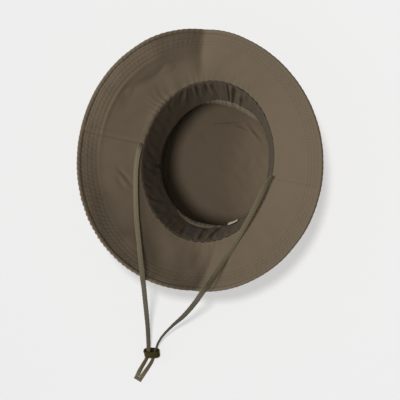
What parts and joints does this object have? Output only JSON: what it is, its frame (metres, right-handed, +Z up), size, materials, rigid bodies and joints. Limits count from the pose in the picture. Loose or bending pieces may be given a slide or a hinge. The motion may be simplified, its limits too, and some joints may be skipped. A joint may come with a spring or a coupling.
{
  "type": "boonie hat",
  "caption": "Soft wide-brimmed hat lying crown down: oval crown, stitched round brim, inner sweatband, outer band with loops, and a flat chin strap through a sliding toggle.",
  "frame": {"origin": "on the floor under the middle of the brim's outline, the chin strap left out", "axes": "+Z up out of the head opening, with the hat upside down on its flat crown tip; +Y to the back of the hat, -Y to the front, where the strap falls; +X to the side seam at the picture's right"},
  "size_m": [0.3041, 0.4438, 0.1376],
  "materials": {
    "shell_cloth": "matt olive-brown cotton poplin",
    "interlining": "off-white woven stiffener, hidden inside the brim",
    "sweatband_twill": "dark brown ribbed sweatband cloth",
    "binding_tape": "narrow olive-brown woven tape",
    "band_webbing": "flat olive-brown webbing",
    "label_cloth": "blank dark woven label",
    "pale_label": "blank pale satin label",
    "vent_metal": "dark bronzed eyelet",
    "strap_tape": "flat braided tape, lighter than the shell",
    "slider_plastic": "satin olive-bronze moulded plastic"
  },
  "bodies": {
    "hat": {"crown_tip": "shell_cloth", "crown_side_front": "shell_cloth", "crown_side_back": "shell_cloth", "brim_lower_front": "shell_cloth", "brim_lower_back": "shell_cloth", "brim_upper_front": "shell_cloth", "brim_upper_back": "shell_cloth", "brim_interlining_front": "interlining", "brim_interlining_back": "interlining", "sweatband": "sweatband_twill", "sweatband_join": "sweatband_twill", "brim_edge_binding": "binding_tape", "sweatband_edge_tape": "binding_tape", "tip_seam_tape": "binding_tape", "hat_band": "band_webbing", "size_label": "label_cloth", "care_tab": "pale_label", "vent_left_front": "vent_metal", "vent_left_back": "vent_metal", "vent_right_front": "vent_metal", "vent_right_back": "vent_metal", "strap_left": "strap_tape", "strap_right": "strap_tape", "strap_tail_left": "strap_tape", "strap_tail_right": "strap_tape", "strap_end_tack": "strap_tape"},
    "slider": {"strap_slider": "slider_plastic"}
  },
  "joints": [
    {"name": "slider_travel", "type": "slide", "parent": "hat", "child": "slider", "axis": [-0.1983, 0.7399, 0.6428], "range_m": [0, 0.06], "deforming": ["strap_left", "strap_right", "strap_tail_left", "strap_tail_right"]}
  ]
}
